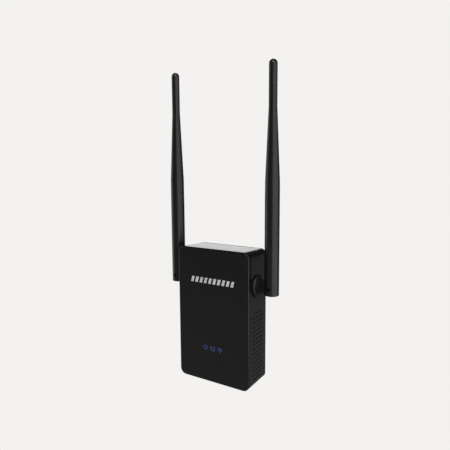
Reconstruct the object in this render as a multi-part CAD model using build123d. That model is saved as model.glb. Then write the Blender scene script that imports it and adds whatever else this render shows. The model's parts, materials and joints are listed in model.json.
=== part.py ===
from build123d import *
from math import radians, tan
import os

# A wall-plugged wifi range extender with two folding antennas.
# Millimetres. The origin is the middle of the plug's mating face, +Y goes into the wall,
# -Y is the front, X runs across the front and +Z is up.

# ---- driving dimensions ---------------------------------------------------------------------
body_width = 66.8
body_height = 110.0
body_depth = 29.9
body_draft = 2.1
corner_radius = 5.4
front_edge_radius = 0.8
rear_edge_radius = 1.0
wall = 2.2
plate = 2.0
running_gap = 0.3
shaft_clearance = 0.06
plug_rise = 17.0
plug_above_base = 58.0
antenna_x = 45.1
antenna_behind_front = 14.8
antenna_length = 174.5
pivot_above_base = 81.4
pivot_above_antenna_end = 5.25

# ---- positions worked out from them ---------------------------------------------------------
back_y = -plug_rise
front_y = back_y - body_depth
middle_y = (back_y + front_y) / 2
bottom_z = -plug_above_base
top_z = bottom_z + body_height
middle_z = (bottom_z + top_z) / 2
side_x = body_width / 2
panel_depth = 3.0
cover_depth = 3.2
seam_gap = 0.25
screw_inset = 6.9
front_seam_y = front_y + panel_depth
rear_seam_y = back_y - cover_depth
inner_front_y = front_y + plate
inner_back_y = back_y - plate
lip_depth = 2.0
lip_wall = 1.2
board_thickness = 1.6
main_board_front_y = front_y + 6.0
main_board_back_y = main_board_front_y + board_thickness
power_board_front_y = back_y - 10.6
power_board_back_y = power_board_front_y + board_thickness
antenna_y = front_y + antenna_behind_front
pivot_z = bottom_z + pivot_above_base
antenna_base_z = pivot_z - pivot_above_antenna_end
screw_x = side_x - screw_inset
high_screw_z = top_z - screw_inset
low_screw_z = bottom_z + 8.0
screw_points = ((-screw_x, high_screw_z), (screw_x, high_screw_z), (0, low_screw_z))


# ---- small helpers --------------------------------------------------------------------------
def block(x_from, x_to, y_from, y_to, z_from, z_to):
    """A box given by its two limits along each axis."""
    centre = Pos((x_from + x_to) / 2, (y_from + y_to) / 2, (z_from + z_to) / 2)
    return centre * Box(x_to - x_from, y_to - y_from, z_to - z_from)


def rod_x(radius, x_from, x_to, y, z):
    """A cylinder along X."""
    return Pos((x_from + x_to) / 2, y, z) * Rot(0, 90, 0) * Cylinder(radius, x_to - x_from)


def rod_y(radius, y_from, y_to, x, z):
    """A cylinder along Y."""
    return Pos(x, (y_from + y_to) / 2, z) * Rot(90, 0, 0) * Cylinder(radius, y_to - y_from)


def rod_z(radius, z_from, z_to, x, y):
    """A cylinder along Z."""
    return Pos(x, y, (z_from + z_to) / 2) * Cylinder(radius, z_to - z_from)


def front_plane(y):
    """A sketch plane seen from the front: its x is X, its y is Z and its normal is -Y."""
    return Plane.XZ.offset(-y)


def drawn_in(y):
    """How far the drafted sides have come inwards at a depth behind the front."""
    return (y - front_y) * tan(radians(body_draft))


def body_slab(inset, y_from, y_to):
    """The drafted body between two depths, drawn in by inset all round."""
    shrink = inset + drawn_in(y_to)
    outline = RectangleRounded(
        body_width - 2 * shrink, body_height - 2 * shrink, corner_radius - shrink
    )
    place = front_plane(y_to) * Pos(0, middle_z)
    return extrude(place * outline, amount=y_to - y_from, taper=-body_draft)


def mirrored(shape):
    """The same piece on the other side of the body."""
    return mirror(shape, about=Plane.YZ)


def save(name, shape):
    """Write one sub-part, as a group when it is made of several solids."""
    solids = shape.solids()
    piece = solids[0] if len(solids) == 1 else Compound(children=list(solids))
    export_step(piece, f"parts/{name}.step")


# ---- signs on the front ---------------------------------------------------------------------
sign_z = bottom_z + 28.4
sign_spacing = 7.0
sign_size = 4.3
sign_line = 0.42
mark_z = bottom_z + 84.0
mark_height = 4.5
mark_bar_width = 2.5
mark_pitch = 4.2
mark_bar_count = 10
mark_depth = 0.4


def arc_band(radius, start, sweep):
    """A curved stroke of the signs' line width, centred on the local origin."""
    path = CenterArc((0, 0), radius, start, sweep)
    return trace(path, sign_line)


def power_sign():
    ring = arc_band(sign_size * 0.4, 125, 290)
    bar = Pos(0, sign_size * 0.32) * Rectangle(sign_line, sign_size * 0.42)
    return Sketch() + ring + bar


def monitor_sign():
    """A screen on a foot; a gap in its top edge ties the panel inside it to the rest."""
    screen_height = sign_size * 0.62
    screen = RectangleRounded(sign_size, screen_height, 0.5)
    screen -= RectangleRounded(sign_size - 2 * sign_line, screen_height - 2 * sign_line, 0.2)
    screen -= Pos(0, screen_height / 2) * Rectangle(sign_line, 3 * sign_line)
    foot = Pos(0, -screen_height / 2 - 0.9) * Rectangle(sign_size * 0.5, sign_line)
    neck = Pos(0, -screen_height / 2 - 0.45) * Rectangle(sign_line, 0.9)
    return Pos(0, 0.4) * (screen + neck + foot)


def wifi_sign():
    dot = Circle(0.45)
    waves = [arc_band(sign_size * share, 45, 90) for share in (0.3, 0.55, 0.8)]
    return Pos(0, -sign_size * 0.4) * (Sketch() + dot + waves)


def sign_window(sketch, x):
    """A clear inlay the full thickness of the front plate."""
    return extrude(front_plane(inner_front_y) * Pos(x, sign_z) * sketch, amount=plate)


def front_mark():
    """A plain strip of slanted bars."""
    slant = 0.3
    half_width = mark_bar_width / 2
    half_height = mark_height / 2
    bar = make_face(Polyline(
        (-half_width - slant * half_height, -half_height),
        (half_width - slant * half_height, -half_height),
        (half_width + slant * half_height, half_height),
        (-half_width + slant * half_height, half_height),
        close=True,
    ))
    first_x = -mark_pitch * (mark_bar_count - 1) / 2
    bars = [Pos(first_x + mark_pitch * index, 0) * bar for index in range(mark_bar_count)]
    strip = Pos(0, mark_z) * (Sketch() + bars)
    return extrude(front_plane(front_y + mark_depth) * strip, amount=mark_depth)


# ---- housing --------------------------------------------------------------------------------
vent_radius = 0.8
vent_column_pitch = 3.0
vent_row_pitch = 3.55
vent_columns = 6
vent_rows = 16
vent_centre_z = bottom_z + 34.0
vent_half_width = 10.5
vent_half_height = 28.0
vent_oval_power = 4

hub_radius = 9.2
hub_shaft_radius = 5.0
jack_width = 15.9
jack_depth = 13.4
jack_height = 18.0
jack_x = 11.75
jack_gap = 0.25
jack_back_y = main_board_back_y + jack_depth
hub_seat_depth = 2.0
hub_seat_edge = 0.3
hub_seat_rise = 0.05
hub_seat_x = side_x - drawn_in(antenna_y - hub_radius) + hub_seat_rise
button_x = 23.6
button_y = middle_y
button_radius = 2.2
slider_x = -24.0
slider_y = middle_y
slider_travel = 1.5
knob_width = 2.2
knob_depth = 2.4


def front_panel(windows, mark):
    panel = body_slab(0, front_y, front_seam_y)
    panel = fillet(panel.faces().sort_by(Axis.Y)[0].edges(), front_edge_radius)
    panel -= body_slab(wall, inner_front_y, front_seam_y)
    lip = body_slab(wall + 0.05, inner_front_y, front_seam_y + lip_depth)
    lip -= body_slab(wall + 0.05 + lip_wall, inner_front_y, front_seam_y + lip_depth)
    panel += lip
    for window in windows:
        panel -= window
    return panel - mark


def boss_radius(z):
    """The corner posts grow into the walls; the low one is slim, between the sockets."""
    return 4.3 if z > 0 else 3.4


def vent_points():
    """Hole centres (y, z) of the square grid, kept inside a tall, blunt oval."""
    points = []
    for row in range(vent_rows):
        height = (row - (vent_rows - 1) / 2) * vent_row_pitch
        for column in range(vent_columns):
            across = (column - (vent_columns - 1) / 2) * vent_column_pitch
            spread = abs(across / vent_half_width) ** vent_oval_power
            spread += abs(height / vent_half_height) ** vent_oval_power
            if spread <= 1:
                points.append((middle_y + across, vent_centre_z + height))
    return points


def housing_shell():
    shell = body_slab(0, front_seam_y + seam_gap, rear_seam_y - seam_gap)
    shell -= body_slab(wall, front_seam_y, rear_seam_y)
    outline = body_slab(0.5, front_seam_y, rear_seam_y)
    shell += block(-1.2, 1.2, main_board_back_y, rear_seam_y, bottom_z + 1, low_screw_z)
    for x, z in screw_points:
        shell += rod_y(boss_radius(z), main_board_back_y, rear_seam_y, x, z) & outline
    for x, z in screw_points:
        shell -= rod_y(pilot_radius, main_board_back_y, rear_seam_y, x, z)
    seat = rod_x(hub_radius, hub_seat_x - hub_seat_depth, hub_seat_x, antenna_y, pivot_z)
    seat = fillet(seat.faces().sort_by(Axis.X)[-1].edges(), hub_seat_edge)
    shell += [seat, mirrored(seat)]
    drills = [rod_x(vent_radius, -side_x - 1, side_x + 1, y, z) for y, z in vent_points()]
    bore = rod_x(hub_shaft_radius + shaft_clearance, -side_x - 1, side_x + 1, antenna_y, pivot_z)
    shell -= drills + [bore]
    for x in (-jack_x, jack_x):
        shell -= block(
            x - jack_width / 2 - jack_gap, x + jack_width / 2 + jack_gap,
            main_board_back_y - jack_gap, jack_back_y + jack_gap,
            bottom_z - 1, bottom_z + wall + 1,
        )
    shell -= rod_z(button_radius + running_gap, bottom_z - 1, bottom_z + wall + 1, button_x, button_y)
    slot_half = slider_travel + knob_width / 2 + running_gap
    shell -= block(
        slider_x - slot_half, slider_x + slot_half,
        slider_y - knob_depth / 2 - running_gap, slider_y + knob_depth / 2 + running_gap,
        bottom_z - 1, bottom_z + wall + 1,
    )
    return shell


# ---- rear cover, plug and screws ------------------------------------------------------------
pilot_radius = 1.1
plug_width = 35.3
plug_height = 13.7
plug_flange = 2.0
pin_x = 9.5
pin_radius = 2.0
pin_length = 19.0
sleeve_length = 10.0
sleeve_radius = 1.75
pin_core_radius = 1.3
pin_root_radius = 2.6
root_cover = 3.0
screw_head_radius = 2.2
screw_head_height = 1.6
screw_radius = 1.1
screw_length = 9.0
screw_seat_y = back_y - screw_head_height - 0.4
label_width = 44.0
label_height = 22.0
label_depth = 0.3
label_z = bottom_z + 25.0


def plug_outline(grow):
    """The flat six-sided outline of a two-pin plug, grown by a margin."""
    half_width = plug_width / 2 + grow
    half_height = plug_height / 2 + grow
    shoulder = half_width - half_height * 0.62
    outline = make_face(Polyline(
        (-half_width, 0), (-shoulder, -half_height), (shoulder, -half_height),
        (half_width, 0), (shoulder, half_height), (-shoulder, half_height), close=True,
    ))
    return fillet(outline.vertices(), 2.0)


def plug_insert():
    face = extrude(front_plane(0) * plug_outline(0), amount=plug_rise + plate)
    face = fillet(face.faces().sort_by(Axis.Y)[-1].edges(), 0.8)
    flange = extrude(front_plane(inner_back_y) * plug_outline(plug_flange), amount=plate)
    insert = face + flange
    for x in (-pin_x, pin_x):
        insert -= rod_y(pin_root_radius, inner_back_y - plate, -root_cover, x, 0)
        insert -= rod_y(pin_radius + 0.05, -root_cover, 0, x, 0)
    return insert


def plug_pin(x):
    """A round pin: a thick root in the plug, full width at the tip, necked inside its sleeve."""
    root = rod_y(pin_root_radius, inner_back_y - plate - 3.0, -root_cover, x, 0)
    neck = rod_y(pin_core_radius, -root_cover, sleeve_length, x, 0)
    tip = rod_y(pin_radius, sleeve_length, pin_length, x, 0)
    tip = fillet(tip.faces().sort_by(Axis.Y)[-1].edges(), 1.2)
    return root + neck + tip


def pin_sleeves():
    sleeves = []
    for x in (-pin_x, pin_x):
        outer = rod_y(sleeve_radius, 0, sleeve_length, x, 0)
        sleeves.append(outer - rod_y(pin_core_radius, 0, sleeve_length, x, 0))
    return Compound(children=sleeves)


def pin_contacts():
    """Bent strips from the pins' roots to the power board."""
    strips = []
    root_y = inner_back_y - plate - 3.0
    for x in (-pin_x, pin_x):
        pad = block(x - 2.2, x + 2.2, root_y - 0.5, root_y, -2.2, 2.2)
        leg = block(x - 1.2, x + 1.2, power_board_back_y, root_y - 0.5, 1.4, 1.9)
        strips.append(pad + leg)
    return Compound(children=strips)


def rear_cover(label):
    cover = body_slab(0, rear_seam_y, back_y)
    cover = fillet(cover.faces().sort_by(Axis.Y)[-1].edges(), rear_edge_radius)
    cover -= body_slab(wall, rear_seam_y, inner_back_y)
    lip = body_slab(wall + 0.05, rear_seam_y - lip_depth, inner_back_y)
    lip -= body_slab(wall + 0.05 + lip_wall, rear_seam_y - lip_depth, inner_back_y)
    lip -= block(-1.3, 1.3, rear_seam_y - lip_depth, rear_seam_y, bottom_z, low_screw_z)
    for x, z in screw_points:
        lip -= rod_y(boss_radius(z) + 0.1, rear_seam_y - lip_depth, rear_seam_y, x, z)
        cover += rod_y(3.4, rear_seam_y, inner_back_y, x, z)
    cover += lip
    for x, z in screw_points:
        cover -= rod_y(screw_radius + 0.2, rear_seam_y - 1, back_y + 1, x, z)
        cover -= rod_y(screw_head_radius + 0.2, screw_seat_y, back_y + 1, x, z)
    cover -= extrude(front_plane(back_y) * plug_outline(0), amount=plate)
    return cover - label


def rating_plate():
    """A blank label set in a shallow pocket of the rear cover."""
    outline = Pos(0, label_z) * RectangleRounded(label_width, label_height, 1.5)
    return extrude(front_plane(back_y) * outline, amount=label_depth)


def screw(radius, head_radius, head_height, length):
    """A pan-head screw along +Z, its head's underside at z = 0 and its shank below."""
    head = Pos(0, 0, head_height / 2) * Cylinder(head_radius, head_height)
    head = fillet(head.faces().sort_by(Axis.Z)[-1].edges(), head_height * 0.4)
    cross = Box(head_radius * 1.2, 0.5, head_height) + Box(0.5, head_radius * 1.2, head_height)
    head -= Pos(0, 0, head_height) * cross
    return head + Pos(0, 0, -length / 2) * Cylinder(radius, length)


def housing_screws():
    one = screw(screw_radius, screw_head_radius, screw_head_height, screw_length)
    return Compound(children=[
        Pos(x, screw_seat_y, z) * Rot(-90, 0, 0) * one for x, z in screw_points
    ])


def board_screws():
    one = screw(screw_radius, 2.0, 1.2, 6.0)
    return Compound(children=[
        Pos(x, main_board_front_y, z) * Rot(90, 0, 0) * one for x, z in screw_points
    ])


# ---- main board -----------------------------------------------------------------------------
def main_board():
    inset = wall + lip_wall + 0.5
    board = body_slab(inset, main_board_front_y, main_board_back_y)
    for x, z in screw_points:
        board -= rod_y(screw_radius + 0.1, main_board_front_y, main_board_back_y, x, z)
    return board


shield_width = 26.0
shield_height = 22.0
shield_rise = 2.6
shield_skin = 0.3
shield_z = 8.0


def rf_shield():
    """A pressed metal can over the radio, open towards the board."""
    back = main_board_front_y
    outline = RectangleRounded(shield_width, shield_height, 1.0)
    can = extrude(front_plane(back) * Pos(0, shield_z) * outline, amount=shield_rise)
    hollow = block(
        -shield_width / 2 + shield_skin, shield_width / 2 - shield_skin,
        back - shield_rise + shield_skin, back,
        shield_z - shield_height / 2 + shield_skin, shield_z + shield_height / 2 - shield_skin,
    )
    return can - hollow


def chip(x, z, width, height, rise):
    """A flat package with a pin-one dimple, on the front of the main board."""
    body = block(
        x - width / 2, x + width / 2,
        main_board_front_y - rise, main_board_front_y,
        z - height / 2, z + height / 2,
    )
    dimple_x = x - width / 2 + 1.0
    dimple_z = z + height / 2 - 1.0
    return body - rod_y(0.4, main_board_front_y - rise, main_board_front_y - rise + 0.15, dimple_x, dimple_z)


def crystal():
    x = 19.0
    z = 6.0
    body = block(x - 1.6, x + 1.6, main_board_front_y - 1.0, main_board_front_y, z - 2.5, z + 2.5)
    return fillet(body.edges().filter_by(Axis.Y), 0.6)


def status_lamps():
    return Compound(children=[
        block(
            x - 0.8, x + 0.8,
            main_board_front_y - 0.8, main_board_front_y,
            sign_z - 0.6, sign_z + 0.6,
        )
        for x in (-sign_spacing, 0, sign_spacing)
    ])


def light_guide():
    """A clear bar with a well over each lamp, held between the board and the front plate."""
    front = inner_front_y
    guide = block(-10.5, 10.5, front, main_board_front_y, sign_z - 3.2, sign_z + 3.2)
    for x in (-sign_spacing, 0, sign_spacing):
        guide -= block(
            x - 1.6, x + 1.6,
            main_board_front_y - 1.6, main_board_front_y,
            sign_z - 1.4, sign_z + 1.4,
        )
    return guide


# ---- network sockets ------------------------------------------------------------------------
port_width = 11.8
port_height = 6.9
port_reach = 12.5
latch_width = 6.2
latch_height = 2.2
contact_count = 8
contact_pitch = 1.27
jack_bottom_z = bottom_z + drawn_in(jack_back_y) + 0.3
port_front_y = main_board_back_y + 2.0


def ethernet_jack(x):
    """A socket that opens downwards, its latch slot on the wall side."""
    body = block(
        x - jack_width / 2, x + jack_width / 2,
        main_board_back_y, jack_back_y,
        jack_bottom_z, jack_bottom_z + jack_height,
    )
    body = fillet(body.edges().filter_by(Axis.Z), 0.4)
    body -= block(
        x - port_width / 2, x + port_width / 2,
        port_front_y, port_front_y + port_height,
        jack_bottom_z, jack_bottom_z + port_reach,
    )
    return body - block(
        x - latch_width / 2, x + latch_width / 2,
        port_front_y + port_height, port_front_y + port_height + latch_height,
        jack_bottom_z, jack_bottom_z + port_reach,
    )


def jack_contacts(x):
    """Eight spring wires along the port's board side."""
    wires = []
    for index in range(contact_count):
        wire_x = x + (index - (contact_count - 1) / 2) * contact_pitch
        wires.append(block(
            wire_x - 0.2, wire_x + 0.2,
            port_front_y, port_front_y + 0.5,
            jack_bottom_z + 2.5, jack_bottom_z + port_reach,
        ))
    return Compound(children=wires)


# ---- button and slider ----------------------------------------------------------------------
button_proud = 0.8
button_low_z = bottom_z + drawn_in(middle_y) - button_proud
flange_z = bottom_z + drawn_in(middle_y + 3.5) + wall + running_gap


def reset_button():
    """A round cap through the bottom wall, with an inner flange and a plunger."""
    cap = rod_z(button_radius, button_low_z, flange_z, button_x, button_y)
    cap = fillet(cap.faces().sort_by(Axis.Z)[0].edges(), 0.4)
    cap -= Pos(button_x, button_y, button_low_z - 7.6) * Sphere(8.0)
    flange = rod_z(button_radius + 1.0, flange_z, flange_z + 1.0, button_x, button_y)
    plunger = rod_z(1.0, flange_z + 1.0, flange_z + 3.5, button_x, button_y)
    return cap + flange + plunger


def button_switch():
    """The switch body above the button, its plunger well open downwards."""
    foot = flange_z + 2.0
    body = block(
        button_x - 3.0, button_x + 3.0,
        main_board_back_y, button_y + 3.0,
        foot, foot + 4.5,
    )
    return body - rod_z(1.0 + running_gap, foot, foot + 2.6, button_x, button_y)


def mode_slider():
    """A ribbed knob through the slot in the bottom wall, on a carrier plate inside."""
    low = button_low_z
    knob = block(
        slider_x - knob_width / 2, slider_x + knob_width / 2,
        slider_y - knob_depth / 2, slider_y + knob_depth / 2,
        low, flange_z,
    )
    for offset in (-0.7, 0, 0.7):
        knob -= block(
            slider_x + offset - 0.15, slider_x + offset + 0.15,
            slider_y - knob_depth / 2, slider_y + knob_depth / 2,
            low, low + 0.3,
        )
    plate_half = knob_width / 2 + 0.6
    carrier = block(
        slider_x - plate_half, slider_x + plate_half,
        slider_y - 2.4, slider_y + 2.4,
        flange_z, flange_z + 1.0,
    )
    lever = block(
        slider_x - 0.7, slider_x + 0.7,
        slider_y - 0.7, slider_y + 0.7,
        flange_z + 1.0, flange_z + 3.2,
    )
    return knob + carrier + lever


def slider_switch():
    """The switch body above the slider, with a slot for its lever."""
    foot = flange_z + 1.6
    body = block(
        slider_x - 3.6, slider_x + 3.6,
        main_board_back_y, slider_y + 2.6,
        foot, foot + 4.0,
    )
    return body - block(
        slider_x - slider_travel - 1.0, slider_x + slider_travel + 1.0,
        slider_y - 1.0, slider_y + 1.0,
        foot, foot + 2.0,
    )


# ---- power board ----------------------------------------------------------------------------
power_half_width = 22.0
power_low_z = -34.0
power_high_z = 44.0
spacer_x = 18.5
spacer_heights = (-30.0, 40.0)


def power_board():
    board = block(
        -power_half_width, power_half_width,
        power_board_front_y, power_board_back_y,
        power_low_z, power_high_z,
    )
    return fillet(board.edges().filter_by(Axis.Y), 1.5)


def board_spacers():
    return Compound(children=[
        rod_y(1.8, main_board_back_y, power_board_front_y, x, z)
        for x in (-spacer_x, spacer_x) for z in spacer_heights
    ])


transformer_z = 4.0
transformer_x = -8.0
core_half_width = 8.0
core_half_height = 7.0
core_front_y = power_board_front_y - 8.2
core_back_y = power_board_front_y - 2.6
leg_half_width = 2.8
coil_half_width = 5.8
coil_wrap = 1.4
window_height = 9.4


def transformer_core():
    """A ferrite frame with two windows either side of its middle leg."""
    core = block(
        transformer_x - core_half_width, transformer_x + core_half_width,
        core_front_y, core_back_y,
        transformer_z - core_half_height, transformer_z + core_half_height,
    )
    window_width = coil_half_width - leg_half_width
    for side in (-1, 1):
        centre = transformer_x + side * (leg_half_width + window_width / 2)
        core -= block(
            centre - window_width / 2, centre + window_width / 2,
            core_front_y, core_back_y,
            transformer_z - window_height / 2, transformer_z + window_height / 2,
        )
    return core


def transformer_winding():
    """The taped coil round the core's middle leg."""
    coil = block(
        transformer_x - coil_half_width, transformer_x + coil_half_width,
        core_front_y - coil_wrap, core_back_y + coil_wrap,
        transformer_z - window_height / 2, transformer_z + window_height / 2,
    )
    coil = fillet(coil.edges().filter_by(Axis.Z), 1.0)
    return coil - block(
        transformer_x - leg_half_width, transformer_x + leg_half_width,
        core_front_y, core_back_y,
        transformer_z - window_height / 2, transformer_z + window_height / 2,
    )


def transformer_base():
    """The moulded foot between the coil and the power board."""
    return block(
        transformer_x - core_half_width, transformer_x + core_half_width,
        core_back_y + coil_wrap, power_board_front_y,
        transformer_z - core_half_height, transformer_z + core_half_height,
    )


def lying_capacitor(radius, length, x, z):
    """A capacitor can lying along Z, with the crimped neck near one end."""
    y = power_board_front_y - radius
    can = rod_z(radius, z - length / 2, z + length / 2, x, y)
    can = fillet(can.edges().filter_by(GeomType.CIRCLE), 0.5)
    groove_z = z - length / 2 + 2.0
    groove = rod_z(radius + 1, groove_z - 0.4, groove_z + 0.4, x, y)
    return can - (groove - rod_z(radius - 0.4, groove_z - 0.4, groove_z + 0.4, x, y))


def mains_capacitors():
    return Compound(children=[
        lying_capacitor(4.2, 14.0, x, 27.0) for x in (-11.0, 0.0)
    ])


def output_capacitor():
    return lying_capacitor(4.0, 12.0, 7.0, -14.0)


def fuse():
    body = rod_z(1.8, 20.0, 30.0, 10.5, power_board_front_y - 1.8)
    return fillet(body.edges().filter_by(GeomType.CIRCLE), 0.8)


def bridge_rectifier():
    return block(12.0, 19.0, power_board_front_y - 2.8, power_board_front_y, 8.0, 14.0)


def inductor():
    """A drum core: two flanges with a wound waist."""
    centre_x = -8.0
    centre_z = -18.0
    foot = power_board_front_y
    waist = rod_y(2.6, foot - 5.5, foot, centre_x, centre_z)
    for low in (foot - 1.2, foot - 5.5):
        waist += rod_y(3.8, low, low + 1.2, centre_x, centre_z)
    return waist


def power_controller():
    return block(6.0, 11.0, power_board_front_y - 1.6, power_board_front_y, -2.0, 2.0)


def board_header():
    """The pin header that joins the two boards."""
    pins = [
        block(
            -3.2 + 2.54 * index - 0.32, -3.2 + 2.54 * index + 0.32,
            main_board_back_y, power_board_front_y,
            -28.32, -27.68,
        )
        for index in range(4)
    ]
    collar = block(-4.8, 6.0, main_board_back_y, main_board_back_y + 2.5, -29.3, -26.7)
    return Part() + collar + pins


# ---- antennas -------------------------------------------------------------------------------
hub_face_x = hub_seat_x + running_gap
hub_rim = 0.1
hub_edge_radius = 1.5
hub_flange_x = hub_face_x + hub_rim + hub_edge_radius
hub_end_x = antenna_x - 8.7
hub_end_radius = 6.3
clip_radius = 6.6
tongue_radius = 4.3
tongue_half_thickness = 2.2
slot_gap = 0.25
wall_inner_x = side_x - drawn_in(antenna_y + clip_radius) - wall
shaft_end_x = wall_inner_x - 2.6
clip_groove_radius = 4.4
clip_outer_x = wall_inner_x - running_gap
clip_thickness = 1.0
hub_bore_radius = 1.2
cable_radius = 0.9
hinge_pin_radius = 1.0
hinge_pin_half_length = 3.7
pin_mouth_radius = 1.5
base_radius = 5.6
tip_radius = 3.2
taper_start = 86.5
taper_end = 141.5
sleeve_wall = 1.4
sleeve_bore_start = 12.5


def antenna_hub():
    """The turning knuckle: flange, shaft through the wall and the tongue that takes the pin."""
    flange = rod_x(hub_radius, hub_face_x, hub_flange_x, antenna_y, pivot_z)
    flange = fillet(flange.faces().sort_by(Axis.X)[-1].edges(), hub_edge_radius)
    neck = rod_x(hub_end_radius, hub_flange_x, hub_end_x, antenna_y, pivot_z)
    shaft = rod_x(hub_shaft_radius, shaft_end_x, hub_face_x, antenna_y, pivot_z)
    groove = rod_x(
        hub_shaft_radius, clip_outer_x - clip_thickness, clip_outer_x, antenna_y, pivot_z
    )
    core = rod_x(
        clip_groove_radius, clip_outer_x - clip_thickness, clip_outer_x, antenna_y, pivot_z
    )
    tongue_low_y = antenna_y - tongue_half_thickness
    tongue_high_y = antenna_y + tongue_half_thickness
    tongue = block(
        hub_end_x - 0.5, antenna_x,
        tongue_low_y, tongue_high_y,
        pivot_z - tongue_radius, pivot_z + tongue_radius,
    )
    tongue += rod_y(tongue_radius, tongue_low_y, tongue_high_y, antenna_x, pivot_z)
    hub = flange + neck + (shaft - groove + core) + tongue
    hub -= rod_x(hub_bore_radius, shaft_end_x, antenna_x - 3.0, antenna_y, pivot_z)
    return hub - rod_y(
        hinge_pin_radius + shaft_clearance, tongue_low_y, tongue_high_y, antenna_x, pivot_z
    )


def hub_clip():
    """The spring ring in the shaft's groove that keeps the hub in the wall."""
    inner = clip_outer_x - clip_thickness
    ring = rod_x(clip_radius, inner, clip_outer_x, antenna_y, pivot_z)
    ring -= rod_x(clip_groove_radius, inner, clip_outer_x, antenna_y, pivot_z)
    mouth = block(inner, clip_outer_x, antenna_y - 2.4, antenna_y + 2.4, pivot_z - 8, pivot_z)
    return ring - mouth


def hub_cable():
    return rod_x(cable_radius, shaft_end_x + 0.3, antenna_x - 3.2, antenna_y, pivot_z)


def hinge_pin():
    return rod_y(
        hinge_pin_radius,
        antenna_y - hinge_pin_half_length, antenna_y + hinge_pin_half_length,
        antenna_x, pivot_z,
    )


def turned(points, tip_centre, tip_size):
    """A round solid about the antenna's axis: straight flanks to a rounded tip."""
    flank = Polyline((0, points[0][1]), *points)
    tip = RadiusArc(points[-1], (0, tip_centre + tip_size), -tip_size)
    axis_line = Line((0, tip_centre + tip_size), (0, points[0][1]))
    profile = make_face(flank + tip + axis_line)
    solid = revolve(Plane.XZ * profile, Axis.Z)
    return Pos(antenna_x, antenna_y, antenna_base_z) * solid


def antenna_sleeve():
    """The tapered tube, forked at its foot round the hub's tongue."""
    tip_centre = antenna_length - tip_radius
    outer = turned(
        [(base_radius, 0), (base_radius, taper_start), (tip_radius, taper_end), (tip_radius, tip_centre)],
        tip_centre, tip_radius,
    )
    outer = fillet(outer.faces().sort_by(Axis.Z)[0].edges(), 0.35)
    bore_radius = tip_radius - sleeve_wall
    hollow = turned(
        [
            (base_radius - sleeve_wall, sleeve_bore_start),
            (base_radius - sleeve_wall, taper_start),
            (bore_radius, taper_end),
            (bore_radius, tip_centre),
        ],
        tip_centre, bore_radius,
    )
    sleeve = outer - hollow
    reach = tongue_radius + slot_gap
    low_y = antenna_y - tongue_half_thickness - slot_gap
    high_y = antenna_y + tongue_half_thickness + slot_gap
    sleeve -= rod_y(reach, low_y, high_y, antenna_x, pivot_z)
    sleeve -= block(
        antenna_x - base_radius - 1, antenna_x, low_y, high_y, antenna_base_z - 1, pivot_z + reach
    )
    sleeve -= block(
        antenna_x - base_radius - 1, antenna_x + reach, low_y, high_y, antenna_base_z - 1, pivot_z
    )
    sleeve -= rod_z(
        cable_radius + 0.1, pivot_z, antenna_base_z + sleeve_bore_start, antenna_x, antenna_y
    )
    for side in (-1, 1):
        mouth = sorted((antenna_y + side * hinge_pin_half_length, antenna_y + side * base_radius))
        sleeve -= rod_y(pin_mouth_radius, *mouth, antenna_x, pivot_z)
    return sleeve - rod_y(
        hinge_pin_radius, antenna_y - base_radius, antenna_y + base_radius, antenna_x, pivot_z
    )


feed_top = 60.0
radiator_tube_top = 84.0
radiator_top = 160.0
connector_x = 22.0
connector_rise = 1.5


def feed_cable():
    return rod_z(
        cable_radius,
        pivot_z + tongue_radius + slot_gap + 0.4, antenna_base_z + feed_top,
        antenna_x, antenna_y,
    )


def radiator():
    """A brass sleeve round the cable's end and the wire that stands on it."""
    tube = rod_z(
        2.3, antenna_base_z + feed_top - 8.0, antenna_base_z + radiator_tube_top, antenna_x, antenna_y
    )
    tube -= rod_z(
        cable_radius, antenna_base_z + feed_top - 8.0, antenna_base_z + feed_top, antenna_x, antenna_y
    )
    return tube + rod_z(
        0.7, antenna_base_z + radiator_tube_top, antenna_base_z + radiator_top, antenna_x, antenna_y
    )


def pigtail_cable():
    """From the hub's shaft inwards, then forward to its connector on the main board."""
    start = (shaft_end_x - 0.3, antenna_y, pivot_z)
    corner = (connector_x, antenna_y, pivot_z)
    end = (connector_x, main_board_back_y + connector_rise, pivot_z)
    path = FilletPolyline(start, corner, end, radius=2.2)
    return sweep(Plane(origin=start, z_dir=(-1, 0, 0)) * Circle(cable_radius), path=path)


def coax_connectors():
    """A small round press-on connector on the main board for each pigtail."""
    base_y = main_board_back_y
    connectors = []
    for x in (-connector_x, connector_x):
        foot = block(x - 1.6, x + 1.6, base_y, base_y + 0.5, pivot_z - 1.6, pivot_z + 1.6)
        cap = rod_y(1.3, base_y + 0.5, base_y + connector_rise, x, pivot_z)
        connectors.append(foot + cap)
    return Compound(children=connectors)


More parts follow.
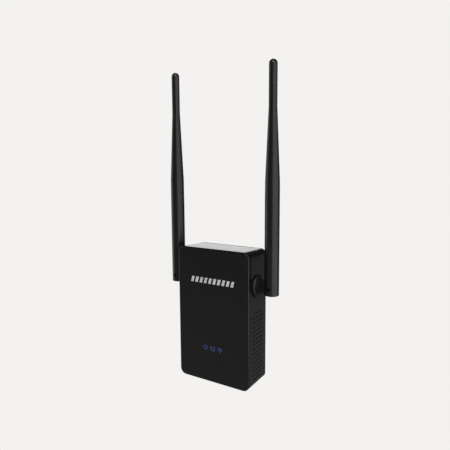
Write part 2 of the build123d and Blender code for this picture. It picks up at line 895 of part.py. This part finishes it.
# ---- write every sub-part -------------------------------------------------------------------
def main():
    os.makedirs("parts", exist_ok=True)

    windows = {
        "power_window": sign_window(power_sign(), -sign_spacing),
        "monitor_window": sign_window(monitor_sign(), 0),
        "wifi_window": sign_window(wifi_sign(), sign_spacing),
    }
    mark = front_mark()
    label = rating_plate()
    pieces = {
        "front_panel": front_panel(windows.values(), mark),
        "front_mark": mark,
        "housing_shell": housing_shell(),
        "rear_cover": rear_cover(label),
        "rating_plate": label,
        "plug_insert": plug_insert(),
        "plug_pin_left": plug_pin(-pin_x),
        "plug_pin_right": plug_pin(pin_x),
        "pin_sleeves": pin_sleeves(),
        "pin_contacts": pin_contacts(),
        "housing_screws": housing_screws(),
        "main_board": main_board(),
        "board_screws": board_screws(),
        "rf_shield": rf_shield(),
        "radio_chip": chip(-4.0, shield_z, 9.0, 9.0, 1.0),
        "memory_chip": chip(-19.0, 28.0, 10.0, 8.0, 1.2),
        "crystal": crystal(),
        "status_lamps": status_lamps(),
        "light_guide": light_guide(),
        "ethernet_jack_left": ethernet_jack(-jack_x),
        "ethernet_jack_right": ethernet_jack(jack_x),
        "jack_contacts_left": jack_contacts(-jack_x),
        "jack_contacts_right": jack_contacts(jack_x),
        "reset_button": reset_button(),
        "button_switch": button_switch(),
        "mode_slider": mode_slider(),
        "slider_switch": slider_switch(),
        "power_board": power_board(),
        "board_spacers": board_spacers(),
        "board_header": board_header(),
        "transformer_core": transformer_core(),
        "transformer_winding": transformer_winding(),
        "transformer_base": transformer_base(),
        "mains_capacitors": mains_capacitors(),
        "output_capacitor": output_capacitor(),
        "fuse": fuse(),
        "bridge_rectifier": bridge_rectifier(),
        "inductor": inductor(),
        "power_controller": power_controller(),
        "coax_connectors": coax_connectors(),
    }
    pieces.update(windows)

    sided = {
        "antenna_hub": antenna_hub(),
        "hub_clip": hub_clip(),
        "hub_cable": hub_cable(),
        "hinge_pin": hinge_pin(),
        "antenna_sleeve": antenna_sleeve(),
        "radiator": radiator(),
        "feed_cable": feed_cable(),
        "pigtail_cable": pigtail_cable(),
    }
    for name, shape in sided.items():
        pieces[f"{name}_right"] = shape
        pieces[f"{name}_left"] = mirrored(shape)

    for name, shape in pieces.items():
        save(name, shape)


main()
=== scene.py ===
"""Looks for a wall-plugged wifi range extender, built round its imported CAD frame."""
import json
import math

import bpy
from mathutils import Matrix, Vector


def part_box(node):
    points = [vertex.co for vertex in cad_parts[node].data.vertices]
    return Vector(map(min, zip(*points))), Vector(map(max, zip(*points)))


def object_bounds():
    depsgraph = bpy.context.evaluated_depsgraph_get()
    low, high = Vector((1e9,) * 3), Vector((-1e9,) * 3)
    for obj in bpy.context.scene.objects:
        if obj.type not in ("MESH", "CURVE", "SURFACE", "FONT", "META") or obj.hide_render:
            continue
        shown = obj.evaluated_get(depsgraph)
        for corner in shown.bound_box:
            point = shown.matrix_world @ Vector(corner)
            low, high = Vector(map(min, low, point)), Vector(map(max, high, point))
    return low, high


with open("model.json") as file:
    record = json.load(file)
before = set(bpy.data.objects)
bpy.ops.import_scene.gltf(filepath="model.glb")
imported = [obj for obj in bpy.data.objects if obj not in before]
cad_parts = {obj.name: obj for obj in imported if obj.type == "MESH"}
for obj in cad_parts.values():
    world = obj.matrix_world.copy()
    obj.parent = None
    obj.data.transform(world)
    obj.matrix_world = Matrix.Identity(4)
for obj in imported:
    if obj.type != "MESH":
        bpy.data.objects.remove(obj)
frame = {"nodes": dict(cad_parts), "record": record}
cad_low, cad_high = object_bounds()

# ---- camera ---------------------------------------------------------------------------------
CAMERA_PLACE = (0.2042, -0.3403, 0.1169)
CAMERA_TURN = math.radians(33.16)
CAMERA_DIP = math.radians(7.33)
CAMERA_ROLL = math.radians(-0.34)
CAMERA_LENS = 37.08
SENSOR_WIDTH = 36.0
NEAREST_SEEN = 0.01
FARTHEST_SEEN = 100.0


def add_camera():
    """The eye stands to the front right, a little above the box."""
    data = bpy.data.cameras.new("camera")
    data.sensor_width = SENSOR_WIDTH
    data.lens = CAMERA_LENS
    data.clip_start = NEAREST_SEEN
    data.clip_end = FARTHEST_SEEN
    camera = bpy.data.objects.new("camera", data)
    bpy.context.scene.collection.objects.link(camera)
    turn = Matrix.Rotation(CAMERA_TURN, 4, "Z")
    tilt = Matrix.Rotation(math.pi / 2 - CAMERA_DIP, 4, "X")
    roll = Matrix.Rotation(CAMERA_ROLL, 4, "Z")
    camera.matrix_world = Matrix.Translation(CAMERA_PLACE) @ turn @ tilt @ roll
    bpy.context.scene.camera = camera


# ---- studio ---------------------------------------------------------------------------------
# The ground and the world are pale to the eye and dim to the object, so that black stays black.
PALE = (1.0, 0.984, 0.967, 1)
PALE_LEVEL = 0.9
WHITE = (1, 1, 1, 1)
SURROUND_LEVEL = 0.05
FLOOR_DIM = 0.13
FLOOR_BRIGHT = 0.27
FLOOR_POOL_CENTRE = (-0.3, -0.6)
FLOOR_POOL_RADIUS = 4.0
FLOOR_DROP = 0.40
FLOOR_RADIUS = 30.0
FLOOR_SIDES = 64


def glow(tree, kind, colour, strength):
    """A shader that gives out light of one colour; its strength may be another node's output."""
    node = tree.nodes.new(kind)
    node.inputs["Color"].default_value = colour
    set_or_link(tree, node.inputs["Strength"], strength)
    return node.outputs[0]


def show_apart(tree, to_object, to_eye, surface):
    """Light the object with one shader and show the camera the other."""
    path = tree.nodes.new("ShaderNodeLightPath")
    mix = tree.nodes.new("ShaderNodeMixShader")
    tree.links.new(path.outputs["Is Camera Ray"], mix.inputs["Fac"])
    tree.links.new(to_object, mix.inputs[1])
    tree.links.new(to_eye, mix.inputs[2])
    tree.links.new(mix.outputs["Shader"], surface)


def add_surround():
    world = bpy.data.worlds.new("surround")
    bpy.context.scene.world = world
    world.use_nodes = True
    tree = world.node_tree
    dim = glow(tree, "ShaderNodeBackground", WHITE, SURROUND_LEVEL)
    pale = glow(tree, "ShaderNodeBackground", PALE, PALE_LEVEL)
    show_apart(tree, dim, pale, tree.nodes["World Output"].inputs["Surface"])


def pool_of_light(tree, height):
    """How brightly the floor lights the object: most in front of it, fading outwards."""
    mapping = tree.nodes.new("ShaderNodeMapping")
    mapping.vector_type = "TEXTURE"
    mapping.inputs["Location"].default_value = (*FLOOR_POOL_CENTRE, height)
    mapping.inputs["Scale"].default_value = (FLOOR_POOL_RADIUS,) * 3
    tree.links.new(place_coords(tree), mapping.inputs["Vector"])
    pool = tree.nodes.new("ShaderNodeTexGradient")
    pool.gradient_type = "SPHERICAL"
    tree.links.new(mapping.outputs["Vector"], pool.inputs["Vector"])
    return remap(tree, pool.outputs["Fac"], UNIT, (FLOOR_DIM, FLOOR_BRIGHT))


def add_floor():
    """A plain pale floor well below the object, which hangs on a wall and touches no floor."""
    mesh = bpy.data.meshes.new("floor")
    height = cad_low.z - FLOOR_DROP
    turns = [2 * math.pi * side / FLOOR_SIDES for side in range(FLOOR_SIDES)]
    rim = [(FLOOR_RADIUS * math.cos(turn), FLOOR_RADIUS * math.sin(turn), height) for turn in turns]
    mesh.from_pydata(rim, [], [list(range(FLOOR_SIDES))])
    floor = bpy.data.objects.new("floor", mesh)
    bpy.context.scene.collection.objects.link(floor)
    material = bpy.data.materials.new("floor_pale")
    material.use_nodes = True
    tree = material.node_tree
    tree.nodes.clear()
    lighting = glow(tree, "ShaderNodeEmission", PALE, pool_of_light(tree, height))
    pale = glow(tree, "ShaderNodeEmission", PALE, PALE_LEVEL)
    output = tree.nodes.new("ShaderNodeOutputMaterial")
    show_apart(tree, lighting, pale, output.inputs["Surface"])
    mesh.materials.append(material)


def add_panel_light(name, bearing, rise, distance, size, radiance):
    """A soft rectangle at a bearing round the object (degrees from +X), turned to face it."""
    target = (cad_low + cad_high) / 2
    turn = math.radians(bearing)
    lift = math.radians(rise)
    level = math.cos(lift)
    away = Vector((math.cos(turn) * level, math.sin(turn) * level, math.sin(lift)))
    width, height = size
    data = bpy.data.lights.new(name, "AREA")
    data.shape = "RECTANGLE"
    data.size = width
    data.size_y = height
    data.energy = radiance * math.pi * width * height
    light = bpy.data.objects.new(name, data)
    bpy.context.scene.collection.objects.link(light)
    light.location = target + away * distance
    light.rotation_mode = "QUATERNION"
    light.rotation_quaternion = (-away).to_track_quat("-Z", "Y")
    light.visible_camera = False


def add_lights():
    """The right panel draws the bright line down each antenna, the back one whitens the top face."""
    add_panel_light("right_softbox", bearing=-14, rise=4, distance=0.9, size=(1.65, 1.14), radiance=1.15)
    add_panel_light("left_softbox", bearing=192, rise=8, distance=1.4, size=(1.2, 1.5), radiance=0.85)
    add_panel_light("back_panel", bearing=126, rise=8, distance=1.6, size=(1.8, 0.62), radiance=1.48)
    add_panel_light("front_key", bearing=-62, rise=50, distance=1.3, size=(1.1, 0.9), radiance=3.0)


# ---- material building blocks ---------------------------------------------------------------
MICRON = 0.000001
NOISE_ROUGHNESS = 0.55
MIDDLE_OF_NOISE = (0.3, 0.7)
UNIT = (0, 1)
EDGE_REACH = 400 * MICRON
EDGE_SAMPLES = 4
FLAT_TO_SHARP = (0.995, 0.90)
finishes = {}


def new_finish(slot):
    """Start the material for a record slot; gives its node tree and its main shader."""
    material = bpy.data.materials.new(slot)
    material.use_nodes = True
    finishes[slot] = material
    return material.node_tree, material.node_tree.nodes["Principled BSDF"]


def set_or_link(tree, socket, value):
    """Feed a socket from another node's output, or set it to a number or colour."""
    if isinstance(value, bpy.types.NodeSocket):
        tree.links.new(value, socket)
    else:
        socket.default_value = value


def place_coords(tree):
    return tree.nodes.new("ShaderNodeTexCoord").outputs["Object"]


def mapped(tree, coords, socket_name, value):
    """The coordinates, scaled or rotated."""
    mapping = tree.nodes.new("ShaderNodeMapping")
    mapping.inputs[socket_name].default_value = value
    tree.links.new(coords, mapping.inputs["Vector"])
    return mapping.outputs["Vector"]


def noise(tree, coords, per_metre, detail):
    node = tree.nodes.new("ShaderNodeTexNoise")
    node.inputs["Scale"].default_value = per_metre
    node.inputs["Detail"].default_value = detail
    node.inputs["Roughness"].default_value = NOISE_ROUGHNESS
    tree.links.new(coords, node.inputs["Vector"])
    return node.outputs["Fac"]


def remap(tree, value, old, new):
    """Stretch one range of values, given as (low, high), to another."""
    node = tree.nodes.new("ShaderNodeMapRange")
    node.inputs["From Min"].default_value = old[0]
    node.inputs["From Max"].default_value = old[1]
    node.inputs["To Min"].default_value = new[0]
    node.inputs["To Max"].default_value = new[1]
    tree.links.new(value, node.inputs["Value"])
    return node.outputs["Result"]


def mottle(tree, coords, per_metre, detail, reach=UNIT, band=MIDDLE_OF_NOISE):
    """Soft patches between the two values of reach; band is the part of the noise that is used."""
    return remap(tree, noise(tree, coords, per_metre, detail), band, reach)


def mixed_colour(tree, factor, first, second):
    """A blend of two colours; either may be a colour or another node's output."""
    node = tree.nodes.new("ShaderNodeMix")
    node.data_type = "RGBA"
    tree.links.new(factor, node.inputs["Factor"])
    for name, value in (("A", first), ("B", second)):
        socket = next(s for s in node.inputs if s.name == name and s.type == "RGBA")
        set_or_link(tree, socket, (*value, 1) if isinstance(value, tuple) else value)
    return next(s for s in node.outputs if s.type == "RGBA")


def combine(tree, operation, first, second):
    node = tree.nodes.new("ShaderNodeMath")
    node.operation = operation
    set_or_link(tree, node.inputs[0], first)
    set_or_link(tree, node.inputs[1], second)
    return node.outputs["Value"]


def scaled(colour, factor):
    return tuple(factor * part for part in colour)


def edge_mask(tree, coords):
    """White where the surface turns sharply, broken up by noise, as handling wears an edge."""
    bevel = tree.nodes.new("ShaderNodeBevel")
    bevel.samples = EDGE_SAMPLES
    bevel.inputs["Radius"].default_value = EDGE_REACH
    geometry = tree.nodes.new("ShaderNodeNewGeometry")
    dot = tree.nodes.new("ShaderNodeVectorMath")
    dot.operation = "DOT_PRODUCT"
    tree.links.new(bevel.outputs["Normal"], dot.inputs[0])
    tree.links.new(geometry.outputs["Normal"], dot.inputs[1])
    edge = remap(tree, dot.outputs["Value"], FLAT_TO_SHARP, UNIT)
    patches = mottle(tree, coords, per_metre=420, detail=4, reach=(0.15, 1), band=(0.40, 0.65))
    return combine(tree, "MULTIPLY", edge, patches)


def bump(tree, shader, height, microns):
    node = tree.nodes.new("ShaderNodeBump")
    node.inputs["Distance"].default_value = microns * MICRON
    node.inputs["Strength"].default_value = 1.0
    tree.links.new(height, node.inputs["Height"])
    tree.links.new(node.outputs["Normal"], shader.inputs["Normal"])


# ---- kinds of finish ------------------------------------------------------------------------
DARK_CLOUD = 0.78
LIGHT_CLOUD = 1.18
RUBBED_ROUGHNESS = 0.25
TARNISHED = 0.72
SMOOTHER_LINE = 0.06
ROUGHER_LINE = 0.1
DIM_PATCH = 0.7


def moulded(slot, colour, roughness, spread=0.05, grain=3500, depth=10, wear=0.4, lift=0.03):
    """Moulded plastic: cloudy tone, a fine mould grain, smudged gloss and paler worn edges.

    The roughness wanders by spread to either side. There are grain bumps to the metre, depth
    microns deep. Edges are worn by wear, from 0 to 1, and turn paler by lift there, or darker
    where lift is below zero.
    """
    tree, shader = new_finish(slot)
    coords = place_coords(tree)
    cloud = mottle(tree, coords, per_metre=60, detail=4)
    tone = mixed_colour(tree, cloud, scaled(colour, DARK_CLOUD), scaled(colour, LIGHT_CLOUD))
    worn = tuple(min(1.0, part + lift) for part in colour)
    edge = combine(tree, "MULTIPLY", edge_mask(tree, coords), wear)
    tree.links.new(mixed_colour(tree, edge, tone, worn), shader.inputs["Base Color"])
    smudge = mottle(tree, coords, per_metre=95, detail=5, reach=(roughness - spread, roughness + spread))
    rubbed = combine(tree, "MULTIPLY", edge, RUBBED_ROUGHNESS)
    tree.links.new(combine(tree, "ADD", smudge, rubbed), shader.inputs["Roughness"])
    bump(tree, shader, noise(tree, coords, per_metre=grain, detail=2), microns=depth)


def metal(slot, colour, roughness, brush=(1, 1, 1)):
    """Bare or plated metal with fine drawn lines, long where brush is small, and some tarnish."""
    tree, shader = new_finish(slot)
    shader.inputs["Metallic"].default_value = 1.0
    coords = place_coords(tree)
    tarnish = mottle(tree, coords, per_metre=300, detail=4, band=(0.35, 0.7))
    tone = mixed_colour(tree, tarnish, colour, scaled(colour, TARNISHED))
    tree.links.new(tone, shader.inputs["Base Color"])
    lines = noise(tree, mapped(tree, coords, "Scale", brush), per_metre=2500, detail=2)
    reach = (roughness - SMOOTHER_LINE, roughness + ROUGHER_LINE)
    rough = remap(tree, lines, MIDDLE_OF_NOISE, reach)
    tree.links.new(rough, shader.inputs["Roughness"])
    bump(tree, shader, lines, microns=4)


def circuit_board(slot):
    """Green solder mask with faint copper tracks under it and weave in its gloss."""
    tree, shader = new_finish(slot)
    coords = place_coords(tree)
    upright = mapped(tree, coords, "Rotation", (math.pi / 2, 0, 0))
    settings = {
        "Scale": 90,
        "Mortar Size": 0.03,
        "Color1": (0.004, 0.07, 0.02, 1),
        "Color2": (0.006, 0.09, 0.028, 1),
        "Mortar": (0.02, 0.17, 0.05, 1),
    }
    tracks = tree.nodes.new("ShaderNodeTexBrick")
    for socket_name, value in settings.items():
        tracks.inputs[socket_name].default_value = value
    tree.links.new(upright, tracks.inputs["Vector"])
    cloud = mottle(tree, coords, per_metre=200, detail=3, reach=(0, 0.5), band=(0.4, 0.7))
    tone = mixed_colour(tree, cloud, tracks.outputs["Color"], (0.003, 0.05, 0.015))
    tree.links.new(tone, shader.inputs["Base Color"])
    weave = mottle(tree, coords, per_metre=1500, detail=2, reach=(0.25, 0.4))
    tree.links.new(weave, shader.inputs["Roughness"])
    bump(tree, shader, tracks.outputs["Fac"], microns=30)


def lit_sign(slot, colour, level):
    """A clear inlay lit from behind, a little unevenly."""
    tree, shader = new_finish(slot)
    coords = place_coords(tree)
    patches = mottle(tree, coords, per_metre=400, detail=2)
    tone = mixed_colour(tree, patches, scaled(colour, DIM_PATCH), colour)
    tree.links.new(tone, shader.inputs["Base Color"])
    tree.links.new(tone, shader.inputs["Emission Color"])
    shader.inputs["Emission Strength"].default_value = level
    polish = mottle(tree, coords, per_metre=2000, detail=2, reach=(0.15, 0.3))
    tree.links.new(polish, shader.inputs["Roughness"])


def clear_guide(slot):
    """Clear acrylic with a slight bluish cloud."""
    tree, shader = new_finish(slot)
    coords = place_coords(tree)
    shader.inputs["Transmission Weight"].default_value = 0.9
    shader.inputs["IOR"].default_value = 1.49
    cloud = mottle(tree, coords, per_metre=150, detail=3)
    tone = mixed_colour(tree, cloud, (0.82, 0.88, 0.95), (0.9, 0.93, 0.96))
    tree.links.new(tone, shader.inputs["Base Color"])
    polish = mottle(tree, coords, per_metre=900, detail=2, reach=(0.05, 0.15))
    tree.links.new(polish, shader.inputs["Roughness"])


def printed_label(slot, node):
    """A blank silver label with a thin dark border line, set in from the node's edges."""
    border_inset = 1400 * MICRON
    border_half_width = 180 * MICRON
    silver = (0.30, 0.30, 0.31)
    pale_silver = (0.36, 0.36, 0.37)
    ink = (0.03, 0.03, 0.03)
    tree, shader = new_finish(slot)
    coords = place_coords(tree)
    low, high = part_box(node)
    centre = (low + high) / 2
    half = (high - low) / 2
    split = tree.nodes.new("ShaderNodeSeparateXYZ")
    tree.links.new(coords, split.inputs["Vector"])
    margins = []
    for axis, middle, reach in (("X", centre.x, half.x), ("Z", centre.z, half.z)):
        offset = combine(tree, "SUBTRACT", split.outputs[axis], middle)
        margins.append(combine(tree, "SUBTRACT", reach, combine(tree, "ABSOLUTE", offset, 0)))
    nearest_edge = combine(tree, "MINIMUM", *margins)
    line = combine(tree, "COMPARE", nearest_edge, border_inset)
    tolerance = line.node.inputs[2]
    tolerance.default_value = border_half_width
    fibre = mottle(tree, coords, per_metre=1500, detail=3)
    paper = mixed_colour(tree, fibre, silver, pale_silver)
    printed = mixed_colour(tree, line, paper, ink)
    tree.links.new(printed, shader.inputs["Base Color"])
    tree.links.new(remap(tree, fibre, UNIT, (0.38, 0.5)), shader.inputs["Roughness"])
    bump(tree, shader, fibre, microns=5)


# ---- one material for each finish in the record ---------------------------------------------
ALONG_X = (0.05, 1, 1)
ALONG_Y = (1, 0.05, 1)
ALONG_Z = (1, 1, 0.05)


def make_outer_plastics():
    """What shows from outside: box, mark, plug, antennas, hubs, sockets and controls."""
    moulded("gloss_black", (0.0045, 0.0045, 0.0047), 0.2, spread=0.03, grain=2200, depth=1.2, wear=0.3)
    moulded("satin_black", (0.012, 0.012, 0.0125), 0.38, grain=2600, depth=8)
    moulded("plug_black", (0.013, 0.013, 0.013), 0.42, grain=2600, depth=8)
    moulded("sleeve_black", (0.02, 0.02, 0.02), 0.45, spread=0.04)
    moulded("mark_grey", (0.78, 0.78, 0.77), 0.45, grain=4000, depth=3, wear=0)
    moulded("jack_black", (0.02, 0.02, 0.021), 0.4, spread=0.04)
    moulded("button_black", (0.03, 0.03, 0.031), 0.45, spread=0.04)
    moulded("slider_white", (0.6, 0.6, 0.57), 0.45, depth=8, wear=0.2, lift=-0.2)
    moulded("antenna_black", (0.0085, 0.0085, 0.0088), 0.28, spread=0.03, grain=2600, depth=4, wear=0.3)
    moulded("hub_black", (0.006, 0.006, 0.0062), 0.5, spread=0.04, grain=2600, depth=6, wear=0.5)


def make_inner_plastics():
    """What is inside: packages, sleeves, tape and cable."""
    moulded("spacer_white", (0.6, 0.6, 0.57), 0.5, depth=8, wear=0)
    moulded("chip_black", (0.018, 0.018, 0.02), 0.5, grain=5000, wear=0.2)
    moulded("cable_grey", (0.1, 0.1, 0.11), 0.45, grain=2000, depth=20, wear=0)
    moulded("tape_yellow", (0.72, 0.5, 0.04), 0.3, grain=900, depth=40, wear=0)
    moulded("capacitor_sleeve", (0.015, 0.025, 0.08), 0.25, grain=700, depth=20, wear=0)
    moulded("ferrite_grey", (0.05, 0.05, 0.055), 0.6, grain=4000, depth=30, wear=0.3)
    moulded("fuse_green", (0.1, 0.28, 0.18), 0.35, grain=1500, depth=20, wear=0)
    moulded("lamp_white", (0.75, 0.78, 0.85), 0.2, grain=1500, depth=5, wear=0)


def make_metals():
    metal("pin_blackened", (0.02, 0.02, 0.021), 0.5)
    metal("pin_nickel", (0.68, 0.66, 0.62), 0.2, brush=ALONG_Y)
    metal("spring_bronze", (0.62, 0.44, 0.25), 0.3)
    metal("screw_steel", (0.32, 0.32, 0.33), 0.35)
    metal("shield_tin", (0.62, 0.62, 0.6), 0.3, brush=ALONG_X)
    metal("crystal_can", (0.66, 0.66, 0.66), 0.22, brush=ALONG_Z)
    metal("contact_gold", (0.83, 0.6, 0.24), 0.22, brush=ALONG_Z)
    metal("radiator_brass", (0.7, 0.5, 0.24), 0.28, brush=ALONG_Z)


def make_single_finishes():
    circuit_board("board_green")
    lit_sign("sign_blue", (0.07, 0.11, 0.40), 0.22)
    clear_guide("guide_clear")
    printed_label("label_silver", "rating_plate")


def dress_frame():
    """Give every CAD node the finish that its record slot names."""
    for row in frame["record"]["subparts"]:
        mesh = frame["nodes"][row["node"]].data
        mesh.materials.clear()
        mesh.materials.append(finishes[row["material_slot"]])


bpy.context.scene.view_settings.view_transform = "Standard"
add_camera()
add_surround()
add_floor()
add_lights()
make_outer_plastics()
make_inner_plastics()
make_metals()
make_single_finishes()
dress_frame()
